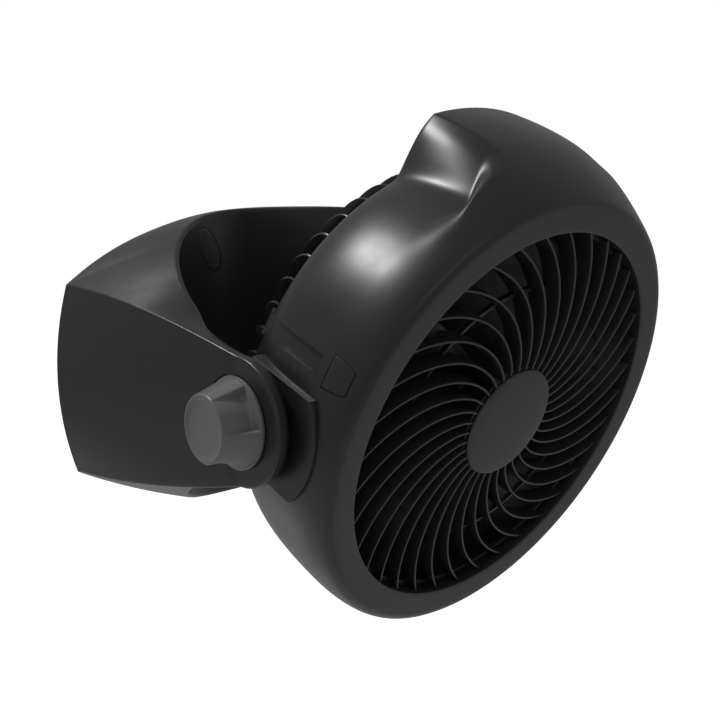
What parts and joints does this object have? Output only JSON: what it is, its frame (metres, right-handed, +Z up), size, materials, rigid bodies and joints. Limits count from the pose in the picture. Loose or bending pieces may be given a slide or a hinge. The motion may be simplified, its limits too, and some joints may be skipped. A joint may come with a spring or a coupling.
{
  "type": "air circulator fan",
  "caption": "Drum-shaped air circulator fan with a spiral-ribbed front grille, tilting in a wall-hung curved yoke between two clamping knobs",
  "frame": {"origin": "centre of the flat back face that lies against the wall", "axes": "+Y points into the wall, +Z is up, X runs along the tilt axis; the fan stands out from the wall towards -Y and blows that way"},
  "size_m": [0.37, 0.2583, 0.3153],
  "materials": {
    "body_plastic": "satin black moulded plastic",
    "inner_plastic": "matte black moulded plastic",
    "knob_plastic": "satin dark grey moulded plastic",
    "blade_plastic": "satin black moulded plastic",
    "zinc_steel": "bright zinc-plated steel",
    "stack_steel": "laminated electrical steel",
    "cast_alloy": "die-cast aluminium",
    "copper": "enamelled copper wire",
    "brass": "plain brass",
    "rubber": "matte black rubber"
  },
  "bodies": {
    "base": {"base_shell": "body_plastic", "wall_plate": "inner_plastic", "plate_screw_1": "zinc_steel", "plate_screw_2": "zinc_steel", "plate_screw_3": "zinc_steel", "plate_screw_4": "zinc_steel", "screw_plug_right": "body_plastic", "screw_plug_left": "body_plastic", "friction_washer_right": "rubber", "friction_washer_left": "rubber"},
    "head": {"housing_shell": "body_plastic", "grille_clip_right": "body_plastic", "grille_clip_left": "body_plastic", "lock_nut_right": "brass", "lock_nut_left": "brass", "front_grille": "body_plastic", "hub_cap": "body_plastic", "grille_screw_1": "zinc_steel", "grille_screw_2": "zinc_steel", "grille_screw_3": "zinc_steel", "grille_screw_4": "zinc_steel", "rear_grille": "body_plastic", "rear_screw_1": "zinc_steel", "rear_screw_2": "zinc_steel", "rear_screw_3": "zinc_steel", "rear_screw_4": "zinc_steel", "motor_rear_cover": "cast_alloy", "motor_front_cover": "cast_alloy", "stator_core": "stack_steel", "winding_front": "copper", "winding_rear": "copper", "bearing_front": "zinc_steel", "bearing_rear": "zinc_steel", "motor_screw_1": "zinc_steel", "motor_screw_2": "zinc_steel", "motor_screw_3": "zinc_steel", "speed_switch": "inner_plastic", "run_capacitor": "inner_plastic", "cord_gland": "rubber"},
    "impeller": {"motor_shaft": "zinc_steel", "rotor_core": "stack_steel", "impeller": "blade_plastic", "spinner_nut": "blade_plastic"},
    "speed_knob": {"speed_knob": "inner_plastic"},
    "lock_knob_right": {"lock_knob_right": "knob_plastic", "lock_stud_right": "zinc_steel"},
    "lock_knob_left": {"lock_knob_left": "knob_plastic", "lock_stud_left": "zinc_steel"}
  },
  "joints": [
    {"name": "head_tilt", "type": "hinge", "parent": "base", "child": "head", "pos_m": [0, -0.1586, 0], "axis": [1, 0, 0], "range_deg": [-33, 56]},
    {"name": "impeller_spin", "type": "hinge", "parent": "head", "child": "impeller", "pos_m": [0, -0.16807, -0.0032], "axis": [0, -0.9473, -0.3203], "continuous": true},
    {"name": "speed_knob_turn", "type": "hinge", "parent": "head", "child": "speed_knob", "pos_m": [0, -0.09229, 0.02242], "axis": [0, 0.9473, 0.3203], "range_deg": [0, 135]},
    {"name": "lock_knob_right_turn", "type": "hinge", "parent": "base", "child": "lock_knob_right", "pos_m": [0.168, -0.1586, 0], "axis": [1, 0, 0], "range_deg": [-180, 0]},
    {"name": "lock_knob_left_turn", "type": "hinge", "parent": "base", "child": "lock_knob_left", "pos_m": [-0.168, -0.1586, 0], "axis": [-1, 0, 0], "range_deg": [-180, 0]}
  ]
}
